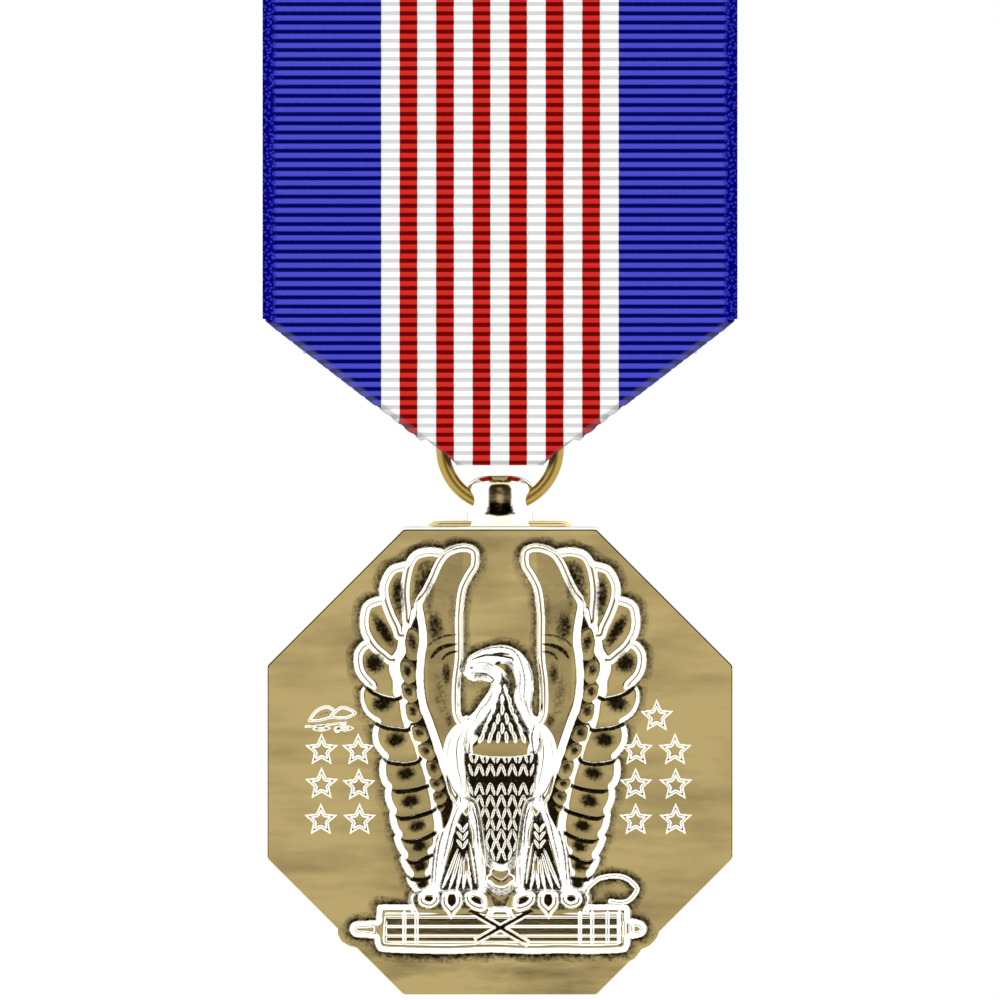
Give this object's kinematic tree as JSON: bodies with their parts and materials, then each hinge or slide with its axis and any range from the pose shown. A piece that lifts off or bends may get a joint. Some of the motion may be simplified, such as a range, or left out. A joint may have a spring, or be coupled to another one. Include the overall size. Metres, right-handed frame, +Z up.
{
  "type": "service medal",
  "caption": "Octagonal struck medallion with a spread eagle in relief, hung by a lug and jump ring from a pointed striped ribbon on a brooch bar with a hinged pin and safety catch.",
  "frame": {"origin": "on the axis of the closed brooch pin, half way across the ribbon", "axes": "+X along the brooch pin towards its tip, +Z up, and the medal's obverse faces -Y"},
  "size_m": [0.035, 0.006, 0.0823],
  "materials": {
    "medal_gold": "polished gold plate",
    "ring_bronze": "polished",
    "ribbon": "ribbed grosgrain",
    "stiffener": "plain card",
    "thread": "twisted thread",
    "brooch_brass": "satin",
    "pin_steel": "nickel plate"
  },
  "bodies": {
    "brooch": {"brooch_bar": "brooch_brass", "brooch_back_plate": "brooch_brass", "brooch_rivets": "brooch_brass", "pin_joint": "brooch_brass", "joint_rivet": "pin_steel", "catch_housing": "brooch_brass", "ribbon_header": "ribbon"},
    "drape": {"ribbon_drape": "ribbon", "ribbon_stiffener": "stiffener", "back_stitches": "thread"},
    "ring": {"suspension_ring": "ring_bronze"},
    "medal": {"medallion": "medal_gold", "suspension_lug": "medal_gold"},
    "pin": {"pin_stem": "pin_steel"},
    "catch": {"catch_rotor": "brooch_brass"}
  },
  "joints": [
    {"name": "drape_swing", "type": "hinge", "parent": "brooch", "child": "drape", "pos_m": [0, -0.00345, -0.0052], "axis": [1, 0, 0], "range_deg": [-45, 45]},
    {"name": "ring_tilt", "type": "hinge", "parent": "drape", "child": "ring", "pos_m": [0, -0.00258, -0.03557], "axis": [1, 0, 0], "range_deg": [-10, 10]},
    {"name": "medal_swing", "type": "hinge", "parent": "ring", "child": "medal", "pos_m": [0, -0.00258, -0.04093], "axis": [1, 0, 0], "range_deg": [-80, 80]},
    {"name": "pin_swing", "type": "hinge", "parent": "brooch", "child": "pin", "pos_m": [-0.0132, 0, 0], "axis": [0, 0, 1], "range_deg": [0, 105]},
    {"name": "catch_turn", "type": "hinge", "parent": "brooch", "child": "catch", "pos_m": [0.0125, 0, 0], "axis": [1, 0, 0], "range_deg": [0, 100]}
  ]
}
